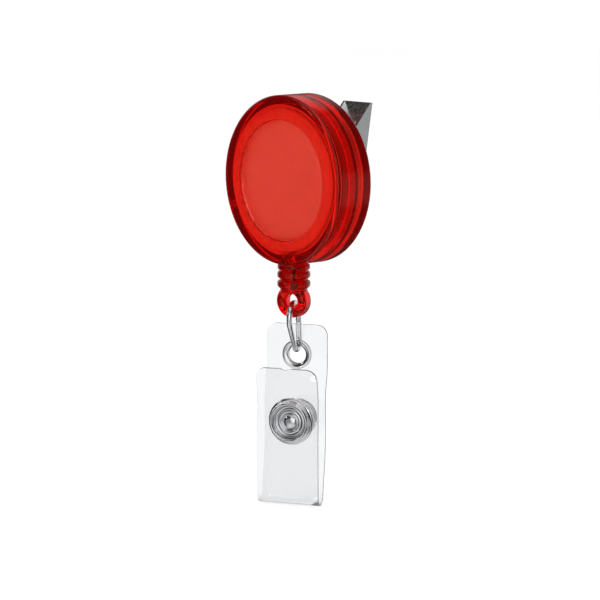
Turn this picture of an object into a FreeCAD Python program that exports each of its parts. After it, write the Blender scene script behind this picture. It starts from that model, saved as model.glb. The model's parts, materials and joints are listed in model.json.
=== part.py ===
import FreeCAD, Part
import math
import os

# Retractable badge reel, hung from a sprung clip on its back.
# Millimetres. The origin is the bite of the clip's jaws. +Z is up, -Y is the reel's front.

V = FreeCAD.Vector
X_AXIS = V(1, 0, 0)
Y_AXIS = V(0, 1, 0)
Z_AXIS = V(0, 0, 1)

# ---- Fits ----
assembly_gap = 0.03        # between faces that are riveted or pressed together
running_gap = 0.06         # radial, for shafts that turn
loose_gap = 0.15           # between parts that slide past each other

# ---- Reel case ----
case_r = 16.0
case_depth = 8.6
front_depth = 5.1          # depth of the front cover, up to the joint line
shoulder_depth = 6.4       # second line round the side, on the back cover
shoulder_step = 0.1
side_wall = 1.7
face_wall = 1.0
front_edge_r = 0.8
back_edge_r = 0.6
recess_r = 11.5            # round label seat in the front face
recess_depth = 0.5
recess_slope = 0.8
tongue_wall = 0.5          # tongue of the back cover inside the front cover
tongue_length = 1.2
boss_r = 3.5               # pad that the clip turns on
boss_height = 0.25

# ---- Centre post and swivel rivet ----
rivet_r = 1.0
rivet_head_r = 1.85
rivet_head_height = 0.5
rivet_tail_r = 1.7
post_wall = 0.8
stub_length = 1.5          # stub of the spool, which turns inside the post

# ---- Spool, spring and cord ----
spool_edge_gap = 0.4       # between the spool and the tongue
spool_web = 0.7
flange_wall = 0.6
groove_width = 2.6
cup_r = 9.4
cup_wall = 0.7
cup_back_gap = 0.5
cord_r = 0.4
winding_build = 1.9
spring_strip = 0.15
spring_turns = 8
spring_edge_gap = 0.35
knot_r = 0.8
outlet_r = 1.0
outlet_mouth = 0.6

# ---- Clip ----
sheet = 0.5
reel_above_bite = 11.5
clip_width = 7.6           # outside of the rear lever
jaw_reach = 3.8            # from the bite to the front plate
swivel_gap = 0.05
clip_pin_r = 0.7
clip_pin_y = 4.0
clip_pin_z = 18.4
ear_tip_r = 1.2
plate_top = 23.5
ear_low = 10.5
ear_high = 22.0
lever_top = 25.25
lever_top_y = 7.2
lever_low_y = 3.2
lever_bend_z = 1.5
lever_ear_depth = 2.0
lever_ear_half = 1.5
jaw_flange = 2.0
throat_high = 13.0
tooth_count = 5
tooth_depth = 0.35
coil_wire_r = 0.25
coil_turns = 3
coil_pitch = 0.6

# ---- Stem at the end of the cord ----
stem_gap = 0.1             # below the case
stem_turn = 18.0           # degrees that the eye is turned from the reel's face
collar_r = 3.1
collar_height = 0.9
neck_r = 2.6
rib_r = 0.75
rib_proud = 0.05           # beyond the collar
rib_pitch = 1.78
first_rib = 1.9            # from the top of the stem
rib_count = 2
eye_r = 3.2
eye_drop = 6.95            # from the top of the stem to the centre of the eye
eye_thickness = 3.2
eye_hole_r = 1.3
eye_edge_r = 0.9
mouth_r = 0.95
cord_bore_r = 0.55
knot_bore_r = 1.0
knot_drop = 0.15           # of the knot below the last rib

# ---- Wire link ----
link_turn = 30.0
link_wire_r = 0.55
link_length = 10.3         # outside, top to bottom
link_bow_gap = 0.65        # between the upper bow and the eye's faces
link_low_r = 1.6
link_lean = 1.9            # how far back the lower bow hangs
rest_gap = 0.3

# ---- Strap ----
strap_turn = 27.5
strap_width = 12.2
strap_sheet = 0.45
strap_corner_r = 2.0
eyelet_hole_r = 1.8
eyelet_wall = 0.25
eyelet_r = 2.85
eyelet_flange = 0.3
washer_sheet = 0.25
eyelet_to_top = 5.85
eyelet_to_snap = 11.95
snap_to_front_top = 10.15
snap_to_fold = 16.35
snap_side = 0.8            # how far the snap sits from the strap's middle
snap_hold = 4.65           # half the straight stretch that the snap keeps parallel
leaf_spacing = 4.3         # between the middles of the leaves at the snap
fold_spacing = 2.6
back_sag = 1.0             # forward shift of the back leaf at the snap
fold_shift = 1.55          # further forward shift of the back leaf at the fold
front_flare = 1.1          # forward shift of the front leaf's top

# ---- Snap fastener ----
cap_r = 3.6
cap_height = 0.7
stud_flange_r = 3.4
stud_flange = 0.5
stud_neck_r = 1.65
stud_head_r = 1.95
stud_head_height = 1.0
socket_r = 3.75
socket_body_r = 3.3
socket_mouth_gap = 0.3
socket_roof = 0.8
shank_r = 1.2
ring_wire_r = 0.18
ring_flange_r = 4.5
ring_flange = 0.5
ring_rim_r = 3.9
ring_rim_height = 1.9
ring_rim_wall = 0.75
ring_floor = 0.4
ring_inner_r = 2.5
ring_inner_height = 1.0
dome_r = 1.6
dome_height = 1.2

# ---- Places worked out from the sizes above ----
plate_back_y = -jaw_reach
plate_front_y = plate_back_y - sheet
case_back_y = plate_front_y - swivel_gap - boss_height
case_front_y = case_back_y - case_depth
reel_z = reel_above_bite
case_inner_r = case_r - side_wall
tongue_r = case_inner_r - assembly_gap
spool_r = tongue_r - tongue_wall - spool_edge_gap
back_wall_depth = case_depth - face_wall
post_bore_r = rivet_head_r + 0.1
post_r = post_bore_r + post_wall
recess_inner_depth = recess_depth + face_wall
spool_depth = recess_inner_depth + loose_gap
post_front_depth = spool_depth + spool_web + loose_gap
cord_depth = spool_depth + flange_wall + groove_width / 2
cord_y = case_front_y + cord_depth
winding_r = cup_r + winding_build
cord_line_r = winding_r + cord_r + assembly_gap
stem_top = reel_z - case_r - stem_gap
eye_z = stem_top - eye_drop
knot_z = stem_top - first_rib - (rib_count - 1) * rib_pitch - knot_drop
link_top_r = eye_thickness / 2 + link_bow_gap + link_wire_r
link_top_z = eye_z - eye_hole_r + link_wire_r + rest_gap
link_low_z = link_top_z - link_length + 2 * link_wire_r
eyelet_z = link_low_z + link_wire_r + rest_gap - eyelet_hole_r
strap_top = eyelet_z + eyelet_to_top
snap_z = eyelet_z - eyelet_to_snap
front_top = snap_z + snap_to_front_top
fold_z = snap_z - snap_to_fold
fold_r = fold_spacing / 2
back_n = -link_lean
snap_back_n = back_n + back_sag
snap_front_n = snap_back_n + leaf_spacing
stud_height = leaf_spacing - strap_sheet - 2 * assembly_gap - socket_roof - rest_gap
fold_back_n = snap_back_n + fold_shift
fold_mid_n = fold_back_n + fold_r
fold_bend_z = fold_z + fold_r + strap_sheet / 2


def rod(radius, start, end):
    """Cylinder from one point to another."""
    return Part.makeCylinder(radius, (end - start).Length, start, end - start)


def turned(profile, place, direction):
    """Solid turned from (radius, distance along the axis) corners."""
    corners = [V(r, 0, h) for r, h in profile]
    face = Part.Face(Part.makePolygon(corners + corners[:1]))
    solid = face.revolve(V(0, 0, 0), Z_AXIS, 360)
    solid.Placement = FreeCAD.Placement(place, FreeCAD.Rotation(Z_AXIS, direction))
    return solid


def slab(points, x_low, x_high):
    """Plate between two x values, from its (y, z) corners."""
    corners = [V(x_low, y, z) for y, z in points]
    face = Part.Face(Part.makePolygon(corners + corners[:1]))
    return face.extrude(V(x_high - x_low, 0, 0))


def rounded(shape, radius, chosen):
    """Shape with the chosen edges filleted."""
    edges = [edge for edge in shape.Edges if chosen(edge)]
    return shape.makeFillet(radius, edges)


def full_circle(radius, along=None):
    """Test for closed round edges of one radius, and of one place along Y if given."""
    def chosen(edge):
        if not isinstance(edge.Curve, Part.Circle) or abs(edge.Curve.Radius - radius) > 1e-4:
            return False
        return along is None or abs(edge.Curve.Center.y - along) < 1e-4
    return chosen


def at_reel(depth):
    """Point on the reel's axis at a depth behind the front face."""
    return V(0, case_front_y + depth, reel_z)


def hung(shape, turn):
    """Move a shape made about the cord's line to its place, turned about the cord."""
    shape = shape.copy()
    shape.rotate(V(0, 0, 0), Z_AXIS, turn)
    shape.translate(V(0, cord_y, 0))
    return shape


# ---- Reel case ----
def front_cover():
    profile = [
        (0, recess_depth), (recess_r - recess_slope, recess_depth), (recess_r, 0), (case_r, 0),
        (case_r, front_depth), (case_inner_r, front_depth), (case_inner_r, recess_inner_depth),
        (0, recess_inner_depth),
    ]
    cover = turned(profile, at_reel(0), Y_AXIS)
    cover = rounded(cover, front_edge_r, full_circle(case_r, case_front_y))
    return cover.cut(outlet())


def outlet():
    """Round hole for the cord, with a flared mouth inside the case."""
    top = V(0, cord_y, reel_z - case_inner_r + side_wall)
    hole = rod(outlet_r, top, V(0, cord_y, reel_z - case_r - side_wall))
    mouth_top = V(0, cord_y, reel_z - case_inner_r + outlet_mouth)
    mouth = Part.makeCone(outlet_r + 2 * outlet_mouth, outlet_r, 2 * outlet_mouth, mouth_top, -Z_AXIS)
    return hole.fuse(mouth)


def back_cover():
    tongue_front = front_depth - tongue_length
    shoulder_r = case_r - shoulder_step
    profile = [
        (rivet_r + running_gap, case_depth + boss_height), (boss_r, case_depth + boss_height),
        (boss_r, case_depth), (case_r, case_depth), (case_r, shoulder_depth),
        (shoulder_r, shoulder_depth), (shoulder_r, front_depth), (tongue_r, front_depth),
        (tongue_r, tongue_front), (tongue_r - tongue_wall, tongue_front),
        (tongue_r - tongue_wall, back_wall_depth), (post_r, back_wall_depth),
        (post_r, post_front_depth), (post_bore_r, post_front_depth),
        (post_bore_r, back_wall_depth), (rivet_r + running_gap, back_wall_depth),
    ]
    cover = turned(profile, at_reel(0), Y_AXIS)
    cover = rounded(cover, back_edge_r, full_circle(case_r, case_back_y))
    gap = 2 * (outlet_r + 2 * outlet_mouth)
    notch = Part.makeBox(gap, tongue_length, 3 * side_wall)
    notch.translate(V(-gap / 2, case_front_y + tongue_front, reel_z - case_inner_r))
    slot = Part.makeBox(2 * spring_strip + loose_gap, spring_width(), 2 * post_r)
    slot.translate(V(-spring_strip - loose_gap / 2, spring_front_y(), reel_z + post_bore_r))
    return cover.cut(notch).cut(slot)


def swivel_rivet():
    head_front = back_wall_depth - swivel_gap - rivet_head_height
    head_back = back_wall_depth - swivel_gap
    tail_front = plate_back_y + swivel_gap - case_front_y
    tail_back = tail_front + rivet_head_height
    profile = [
        (0, head_front), (rivet_head_r, head_front), (rivet_head_r, head_back), (rivet_r, head_back),
        (rivet_r, tail_front), (rivet_tail_r, tail_front), (rivet_tail_r, tail_back), (0, tail_back),
    ]
    rivet = turned(profile, at_reel(0), Y_AXIS)
    return rounded(rivet, rivet_head_height / 2, full_circle(rivet_tail_r, case_front_y + tail_back))


# ---- Spool, spring and cord ----
def spool():
    front = spool_depth
    groove_front = front + flange_wall
    groove_back = groove_front + groove_width
    cup_back = back_wall_depth - cup_back_gap
    web_back = front + spool_web
    stub_r = post_bore_r - running_gap
    profile = [
        (0, front), (spool_r, front), (spool_r, groove_front), (cup_r, groove_front),
        (cup_r, groove_back), (spool_r, groove_back), (spool_r, groove_back + flange_wall),
        (cup_r, groove_back + flange_wall), (cup_r, cup_back), (cup_r - cup_wall, cup_back),
        (cup_r - cup_wall, web_back), (stub_r, web_back), (stub_r, web_back + stub_length),
        (0, web_back + stub_length),
    ]
    return turned(profile, at_reel(0), Y_AXIS)


def spring_front_y():
    return case_front_y + spool_depth + spool_web + spring_edge_gap


def spring_width():
    back = back_wall_depth - spring_edge_gap
    return case_front_y + back - spring_front_y()


def mainspring():
    """Flat spiral strip between the post and the spool's cup, its inner end in the post's slot."""
    inner = post_r + loose_gap
    outer = cup_r - cup_wall - loose_gap - spring_strip
    steps_per_turn = 16
    steps = spring_turns * steps_per_turn

    def spiral(offset):
        points = []
        for step in range(steps + 1):
            radius = inner + (outer - inner) * step / steps + offset
            angle = math.pi / 2 + 2 * math.pi * step / steps_per_turn
            points.append(V(radius * math.cos(angle), spring_front_y(), reel_z + radius * math.sin(angle)))
        curve = Part.BSplineCurve()
        curve.interpolate(points)
        return curve.toShape()

    low = spiral(0)
    high = spiral(spring_strip)
    ends = [(edge.valueAt(edge.FirstParameter), edge.valueAt(edge.LastParameter)) for edge in (low, high)]
    start = Part.makeLine(ends[0][0], ends[1][0])
    end = Part.makeLine(ends[1][1], ends[0][1])
    strip = Part.Face(Part.Wire([low, end, high, start])).extrude(V(0, spring_width(), 0))
    tab_low = reel_z + post_bore_r + loose_gap
    tab = Part.makeBox(spring_strip, spring_width(), inner + spring_strip + reel_z - tab_low)
    tab.translate(V(-spring_strip / 2, spring_front_y(), tab_low))
    return strip.fuse(tab)


def cord_winding():
    front = spool_depth + flange_wall + assembly_gap
    back = front + groove_width - 2 * assembly_gap
    inner = cup_r + assembly_gap
    profile = [(inner, front), (winding_r, front), (winding_r, back), (inner, back)]
    winding = turned(profile, at_reel(0), Y_AXIS)
    return rounded(winding, cord_r, full_circle(winding_r))


def cord_run():
    """The cord from the winding, through the outlet and down the stem to the knot."""
    bend = V(0, cord_y, reel_z - case_inner_r)
    reach = case_inner_r
    leave = math.acos(cord_line_r / reach)
    start = V(cord_line_r * math.sin(leave), cord_y, reel_z - cord_line_r * math.cos(leave))
    end = V(0, cord_y, knot_z + knot_r + assembly_gap)
    slanted = rod(cord_r, start, bend)
    straight = rod(cord_r, bend, end)
    corner = Part.makeSphere(cord_r, bend)
    return slanted.fuse([corner, straight])


def cord_knot():
    return Part.makeSphere(knot_r, V(0, cord_y, knot_z))


# ---- Clip ----
def wall_y(z):
    """Outer face of the rear lever's back wall at a height."""
    slope = (lever_top_y - lever_low_y) / (lever_top - lever_bend_z)
    return lever_low_y + slope * (z - lever_bend_z)


def toothed(shape, side):
    """Cut V teeth in a jaw's lip; side is -1 for the front jaw and 1 for the rear one."""
    pitch = clip_width / (tooth_count + 1)
    for index in range(tooth_count + 1):
        middle = (index - tooth_count / 2) * pitch
        tip = side * (swivel_gap - 0.1)
        root = side * (swivel_gap + tooth_depth)
        corners = [V(middle - pitch / 2, tip, -sheet), V(middle + pitch / 2, tip, -sheet), V(middle, root, -sheet)]
        face = Part.Face(Part.makePolygon(corners + corners[:1]))
        shape = shape.cut(face.extrude(V(0, 0, 2 * sheet)))
    return shape


def clip_front_jaw():
    outer = clip_width / 2 - sheet - loose_gap
    inner = outer - sheet
    half = sheet / 2
    plate = slab([(plate_front_y, -half), (plate_back_y, -half), (plate_back_y, plate_top),
                  (plate_front_y, plate_top)], -outer, outer)
    lip = slab([(plate_back_y, -half), (-swivel_gap, -half), (-swivel_gap, half), (plate_back_y, half)],
               -outer, outer)
    shape = toothed(plate.fuse(lip), -1)
    for x_low in (-outer, inner):
        ear = slab([(plate_back_y, ear_low), (clip_pin_y, clip_pin_z - ear_tip_r),
                    (clip_pin_y, clip_pin_z + ear_tip_r), (plate_back_y, ear_high)], x_low, x_low + sheet)
        tip = rod(ear_tip_r, V(x_low, clip_pin_y, clip_pin_z), V(x_low + sheet, clip_pin_y, clip_pin_z))
        shape = shape.fuse([ear, tip])
    pin_hole = rod(clip_pin_r + assembly_gap, V(-outer, clip_pin_y, clip_pin_z), V(outer, clip_pin_y, clip_pin_z))
    rivet_hole = rod(rivet_r + assembly_gap, at_reel(case_depth), V(0, 0, reel_z))
    return shape.cut(pin_hole).cut(rivet_hole).removeSplitter()


def clip_rear_lever():
    outer = clip_width / 2
    inner = outer - sheet
    half = sheet / 2
    ear_front = clip_pin_y - lever_ear_depth
    side = [
        (lever_top_y, lever_top), (lever_top_y - sheet, lever_top),
        (ear_front, clip_pin_z + lever_ear_half), (ear_front, clip_pin_z - lever_ear_half),
        (wall_y(throat_high) - jaw_flange, throat_high), (wall_y(half) - jaw_flange, half),
        (swivel_gap, half), (swivel_gap, -half), (lever_low_y - sheet / 2, -half),
        (lever_low_y, half), (lever_low_y, lever_bend_z),
    ]
    pocket = [
        (lever_top_y - sheet, lever_top), (lever_low_y - sheet, lever_bend_z), (lever_low_y - sheet, half),
        (-jaw_reach, half), (-jaw_reach, 2 * lever_top), (lever_top_y - sheet, 2 * lever_top),
    ]
    lever = slab(side, -outer, outer).cut(slab(pocket, -inner, inner))
    lever = toothed(lever, 1)
    hole_r = clip_pin_r + running_gap
    return lever.cut(rod(hole_r, V(-clip_width, clip_pin_y, clip_pin_z), V(clip_width, clip_pin_y, clip_pin_z)))


def clip_pin():
    """Pin with two low heads outside the lever's ears."""
    reach = clip_width / 2 + assembly_gap
    head = 0.3
    head_r = clip_pin_r + 0.3
    profile = [
        (0, -reach - head), (head_r, -reach - head), (head_r, -reach), (clip_pin_r, -reach),
        (clip_pin_r, reach), (head_r, reach), (head_r, reach + head), (0, reach + head),
    ]
    return turned(profile, V(0, clip_pin_y, clip_pin_z), X_AXIS)


def clip_torsion_spring():
    """Coil on the pin, with one leg on the front plate and one on the lever's wall."""
    coil_r = clip_pin_r + loose_gap + coil_wire_r
    length = coil_turns * coil_pitch
    helix = Part.makeHelix(coil_pitch, length, coil_r)
    profile = Part.Wire([Part.makeCircle(coil_wire_r, V(coil_r, 0, 0), Y_AXIS)])
    coil = Part.Wire(helix).makePipeShell([profile], True, True)
    start_up = FreeCAD.Rotation(Z_AXIS, X_AXIS).multiply(FreeCAD.Rotation(Z_AXIS, 180))
    coil.Placement = FreeCAD.Placement(V(-length / 2, clip_pin_y, clip_pin_z), start_up)
    first = coil.Placement.multVec(V(coil_r, 0, 0))
    last = coil.Placement.multVec(V(coil_r, 0, length))
    leg_z = ear_high - sheet
    plate_end = V(first.x, plate_back_y + coil_wire_r + assembly_gap, leg_z)
    wall_gap = sheet + 2 * coil_wire_r
    wall_end = V(last.x, wall_y(leg_z) - wall_gap, leg_z)
    legs = []
    for start, end in ((first, plate_end), (last, wall_end)):
        along = (end - start).normalize()
        legs.append(rod(coil_wire_r, start - along * coil_wire_r, end))
    return coil.fuse(legs)


# ---- Stem and link ----
def stem():
    top = V(0, 0, stem_top)
    collar = rod(collar_r, top, V(0, 0, stem_top - collar_height))
    neck = rod(neck_r, top, V(0, 0, eye_z + eye_hole_r + mouth_r / 2))
    ribs = []
    for index in range(rib_count):
        height = stem_top - first_rib - index * rib_pitch
        ribs.append(Part.makeTorus(collar_r + rib_proud - rib_r, rib_r, V(0, 0, height)))
    body = collar.fuse([neck] + ribs)
    eye = rod(eye_r, V(0, -eye_thickness / 2, eye_z), V(0, eye_thickness / 2, eye_z))
    eye = eye.cut(rod(eye_hole_r, V(0, -eye_thickness, eye_z), V(0, eye_thickness, eye_z)))
    eye = rounded(eye, mouth_r, full_circle(eye_hole_r))
    eye = rounded(eye, eye_edge_r, full_circle(eye_r))
    bore = rod(cord_bore_r, V(0, 0, stem_top + 1), V(0, 0, knot_z))
    chamber = rod(knot_bore_r, V(0, 0, knot_z + knot_r + rest_gap), V(0, 0, eye_z))
    return hung(body.fuse(eye).cut(bore).cut(chamber).removeSplitter(), stem_turn)


def link_ring():
    """Round wire bent to a loop of two bows joined by straight legs."""
    high = V(0, 0, link_top_z - link_top_r)
    low = V(0, link_lean, link_low_z + link_low_r)
    down = low - high
    span = down.Length
    down.normalize()
    across = down.cross(X_AXIS)
    spread = math.acos((link_top_r - link_low_r) / span)
    touch = [down * math.cos(spread) + across * (side * math.sin(spread)) for side in (1, -1)]
    high_ends = [high + ray * link_top_r for ray in touch]
    low_ends = [low + ray * link_low_r for ray in touch]
    path = [
        Part.makeLine(low_ends[0], high_ends[0]),
        Part.Arc(high_ends[0], high - down * link_top_r, high_ends[1]).toShape(),
        Part.makeLine(high_ends[1], low_ends[1]),
        Part.Arc(low_ends[1], low + down * link_low_r, low_ends[0]).toShape(),
    ]
    section = Part.Wire([Part.makeCircle(link_wire_r, low_ends[0], high_ends[0] - low_ends[0])])
    ring = Part.Wire(path).makePipeShell([section], True, True)
    return hung(ring, link_turn)


# ---- Strap ----
def leaf(path, low_side):
    """Strap leaf along (forward, z) points, with a quarter of the fold at its lower end."""
    half = strap_sheet / 2
    corners = [(-(n + half), z) for n, z in path] + [(-(n - half), z) for n, z in reversed(path)]
    sheet_part = slab(corners, -strap_width / 2, strap_width / 2)
    middle = V(-strap_width / 2, -fold_mid_n, fold_bend_z)
    tube = Part.makeCylinder(fold_r + half, strap_width, middle, X_AXIS)
    tube = tube.cut(Part.makeCylinder(fold_r - half, strap_width, middle, X_AXIS))
    block = Part.makeBox(strap_width, 2 * fold_r, 2 * fold_r)
    block.translate(middle + V(0, 0 if low_side > 0 else -2 * fold_r, -2 * fold_r))
    return sheet_part.fuse(tube.common(block)).removeSplitter()


def round_top(shape, top):
    """Round the two upper corners of a leaf."""
    low = fold_z - strap_sheet
    outline = Part.makeBox(strap_width, 2 * strap_width, top - low)
    outline.translate(V(-strap_width / 2, -strap_width, low))

    def chosen(edge):
        ends = [vertex.Point for vertex in edge.Vertexes]
        return all(abs(p.z - top) < 1e-4 for p in ends) and abs(ends[0].x - ends[1].x) < 1e-4
    return shape.common(rounded(outline, strap_corner_r, chosen))


def strap_back_leaf():
    path = [
        (back_n, strap_top), (back_n, eyelet_z - eyelet_r), (snap_back_n, snap_z + snap_hold),
        (snap_back_n, snap_z - snap_hold), (fold_back_n, fold_bend_z),
    ]
    shape = round_top(leaf(path, 1), strap_top)
    barrel_r = eyelet_hole_r + eyelet_wall + assembly_gap
    eyelet_hole = rod(barrel_r, V(0, -strap_width, eyelet_z), V(0, strap_width, eyelet_z))
    snap_hole = rod(shank_r + assembly_gap, V(snap_side, -strap_width, snap_z), V(snap_side, strap_width, snap_z))
    return hung(shape.cut(eyelet_hole).cut(snap_hole), strap_turn)


def strap_front_leaf():
    path = [
        (snap_front_n + front_flare, front_top), (snap_front_n, snap_z + snap_hold),
        (snap_front_n, snap_z - snap_hold), (fold_mid_n + fold_r, fold_bend_z),
    ]
    shape = round_top(leaf(path, -1), front_top)
    snap_hole = rod(shank_r + assembly_gap, V(snap_side, -strap_width, snap_z), V(snap_side, strap_width, snap_z))
    return hung(shape.cut(snap_hole), strap_turn)


def on_strap(profile, side, height):
    """Turned part on the strap; the profile's second value is measured forward."""
    return hung(turned(profile, V(side, 0, height), -Y_AXIS), strap_turn)


def strap_eyelet():
    """Metal eyelet through the back leaf, its flange in front and its roll behind."""
    face = back_n + strap_sheet / 2 + assembly_gap
    back = back_n - strap_sheet / 2 - 2 * assembly_gap - washer_sheet
    barrel_r = eyelet_hole_r + eyelet_wall
    roll_r = barrel_r + eyelet_wall
    profile = [
        (eyelet_hole_r, back - eyelet_wall / 2), (eyelet_hole_r + eyelet_wall / 2, back - eyelet_wall),
        (roll_r, back - eyelet_wall / 2), (roll_r, back), (barrel_r, back), (barrel_r, face),
        (eyelet_r, face), (eyelet_r, face + eyelet_flange / 2), (eyelet_r - eyelet_wall, face + eyelet_flange),
        (barrel_r, face + eyelet_flange), (eyelet_hole_r, face + eyelet_flange / 2),
    ]
    return on_strap(profile, 0, eyelet_z)


def eyelet_washer():
    back = back_n - strap_sheet / 2 - assembly_gap - washer_sheet
    inner = eyelet_hole_r + eyelet_wall + assembly_gap
    profile = [(inner, back), (eyelet_r, back), (eyelet_r, back + washer_sheet), (inner, back + washer_sheet)]
    return on_strap(profile, 0, eyelet_z)


# ---- Snap fastener ----
def snap_back_cap():
    """Cap behind the back leaf, with a shank up into the stud."""
    face = snap_back_n - strap_sheet / 2 - assembly_gap
    back = face - cap_height
    shank_end = snap_back_n + strap_sheet / 2 + stud_flange
    profile = [
        (0, back), (cap_r - cap_height / 2, back), (cap_r, back + cap_height / 2), (cap_r, face),
        (shank_r, face), (shank_r, shank_end), (0, shank_end),
    ]
    return on_strap(profile, snap_side, snap_z)


def snap_stud():
    face = snap_back_n + strap_sheet / 2 + assembly_gap
    top = face + stud_height
    head = top - stud_head_height
    edge = stud_head_height / 3
    hollow = shank_r + assembly_gap
    profile = [
        (hollow, face), (stud_flange_r, face), (stud_flange_r, face + stud_flange),
        (stud_neck_r, face + stud_flange), (stud_neck_r, head), (stud_head_r, head + edge),
        (stud_head_r, top - edge), (stud_head_r - edge, top), (0, top), (0, top - stud_flange),
        (hollow, top - stud_flange),
    ]
    return on_strap(profile, snap_side, snap_z)


def socket_back_n():
    return snap_back_n + strap_sheet / 2 + stud_flange + assembly_gap + loose_gap


def socket_bore_r():
    return stud_head_r + socket_mouth_gap


def snap_socket():
    """Hollow socket behind the front leaf, open towards the stud."""
    face = snap_front_n - strap_sheet / 2 - assembly_gap
    back = socket_back_n()
    hole = shank_r + assembly_gap
    roof = face - socket_roof
    ring_low = back + socket_roof
    ring_high = ring_low + 4 * ring_wire_r
    groove_r = socket_bore_r() + 2 * ring_wire_r
    profile = [
        (hole, face), (socket_r, face), (socket_r, roof), (socket_body_r, roof), (socket_body_r, back),
        (socket_bore_r(), back), (socket_bore_r(), ring_low), (groove_r, ring_low),
        (groove_r, ring_high), (socket_bore_r(), ring_high), (socket_bore_r(), roof), (hole, roof),
    ]
    return on_strap(profile, snap_side, snap_z)


def snap_ring_spring():
    """Open wire ring in the socket's groove."""
    middle = socket_back_n() + socket_roof + 2 * ring_wire_r
    radius = socket_bore_r() + ring_wire_r
    ring = Part.makeTorus(radius, ring_wire_r, V(0, 0, 0), Z_AXIS, 0, 360, 330)
    ring.Placement = FreeCAD.Placement(V(snap_side, -middle, snap_z), FreeCAD.Rotation(Z_AXIS, -Y_AXIS))
    return hung(ring, strap_turn)


def snap_front_cap():
    """Round cap on the front leaf: flange, raised rim, inner ring and dome, with a shank behind."""
    face = snap_front_n + strap_sheet / 2 + assembly_gap
    floor = face + ring_floor
    top = face + ring_rim_height
    shoulder = top - ring_rim_wall / 2
    shank_end = snap_front_n - strap_sheet / 2 - assembly_gap - socket_roof
    rim_in = ring_rim_r - ring_rim_wall
    inner_top = face + ring_inner_height
    profile = [
        (0, shank_end), (shank_r, shank_end), (shank_r, face), (ring_flange_r, face),
        (ring_flange_r, face + ring_flange / 2), (ring_rim_r, face + ring_flange),
        (ring_rim_r, shoulder), (ring_rim_r - ring_rim_wall / 2, top), (rim_in, shoulder),
        (rim_in, floor), (ring_inner_r, floor), (ring_inner_r - ring_floor / 2, inner_top),
        (dome_r + ring_floor / 2, inner_top), (dome_r, floor),
        (dome_r / 2, face + dome_height - ring_floor / 4), (0, face + dome_height),
    ]
    return on_strap(profile, snap_side, snap_z)


BUILDERS = [
    clip_front_jaw, clip_rear_lever, clip_pin, clip_torsion_spring, swivel_rivet,
    front_cover, back_cover, spool, mainspring, cord_winding, cord_run, cord_knot,
    stem, link_ring, strap_back_leaf, strap_front_leaf, strap_eyelet, eyelet_washer,
    snap_back_cap, snap_stud, snap_socket, snap_ring_spring, snap_front_cap,
]


def main():
    os.makedirs("parts", exist_ok=True)
    for builder in BUILDERS:
        shape = builder()
        print(builder.__name__, len(shape.Solids), shape.isValid(), round(shape.Volume, 3))
        shape.exportStep("parts/" + builder.__name__ + ".step")


main()
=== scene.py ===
import json
import math

import bmesh
import bpy
from bpy.props import FloatProperty, FloatVectorProperty, IntProperty, PointerProperty
from mathutils import Matrix, Vector
from mathutils.geometry import interpolate_bezier


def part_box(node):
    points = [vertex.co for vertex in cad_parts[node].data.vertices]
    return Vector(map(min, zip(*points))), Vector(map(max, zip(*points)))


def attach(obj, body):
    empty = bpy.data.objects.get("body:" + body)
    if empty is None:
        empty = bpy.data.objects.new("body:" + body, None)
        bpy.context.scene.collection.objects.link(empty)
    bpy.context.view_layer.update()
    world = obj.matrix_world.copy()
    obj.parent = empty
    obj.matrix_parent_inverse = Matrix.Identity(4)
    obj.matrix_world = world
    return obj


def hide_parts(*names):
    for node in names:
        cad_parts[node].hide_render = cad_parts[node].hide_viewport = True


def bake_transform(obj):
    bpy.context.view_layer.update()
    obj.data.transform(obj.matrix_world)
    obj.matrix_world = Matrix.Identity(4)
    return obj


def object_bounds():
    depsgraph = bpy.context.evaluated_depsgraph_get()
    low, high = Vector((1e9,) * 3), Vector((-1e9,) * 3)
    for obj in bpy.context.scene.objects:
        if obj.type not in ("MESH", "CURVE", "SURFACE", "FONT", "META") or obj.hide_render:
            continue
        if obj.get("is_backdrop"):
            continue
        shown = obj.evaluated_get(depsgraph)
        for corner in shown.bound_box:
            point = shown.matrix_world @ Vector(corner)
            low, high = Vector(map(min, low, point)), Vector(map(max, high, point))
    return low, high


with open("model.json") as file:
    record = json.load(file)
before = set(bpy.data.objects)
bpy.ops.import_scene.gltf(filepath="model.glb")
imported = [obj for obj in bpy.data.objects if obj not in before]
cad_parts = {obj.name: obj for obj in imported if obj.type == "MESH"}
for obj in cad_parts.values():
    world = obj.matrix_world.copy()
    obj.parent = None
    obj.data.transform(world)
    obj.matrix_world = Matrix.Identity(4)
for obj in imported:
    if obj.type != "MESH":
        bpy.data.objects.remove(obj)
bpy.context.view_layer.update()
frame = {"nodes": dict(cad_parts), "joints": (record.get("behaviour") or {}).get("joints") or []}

bl_info = {
    "name": "Retractable badge reel",
    "version": (1, 0, 0),
    "blender": (4, 5, 0),
    "location": "View3D > Sidebar > Badge reel",
    "description": "Models the case, clip, stem, link, strap and snap of a retractable badge reel",
    "category": "Object",
}

MM = 0.001
MATT = "matt"
JOINTS = {joint["name"]: joint for joint in frame["joints"]}


# ---- Places and sizes, read from the frame ----
def centre(node):
    """Middle of a node's box."""
    low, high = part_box(node)
    return (low + high) / 2


CORD = centre("cord_knot")
CORD_LINE = Vector((CORD.x, CORD.y, 0))
REEL = centre("front_cover")
BACKWARD = Matrix.Rotation(math.radians(-90), 4, "X")
FORWARD = Matrix.Rotation(math.radians(90), 4, "X")


def turn_of(joint):
    """How far a joint's level axis is turned about +Z from the reel's own front-to-back line."""
    axis = Vector(JOINTS[joint]["axis"])
    return math.atan2(-axis.x, axis.y)


EYE_TURN = turn_of("link_swing")
STRAP_TURN = turn_of("strap_swing")


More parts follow.
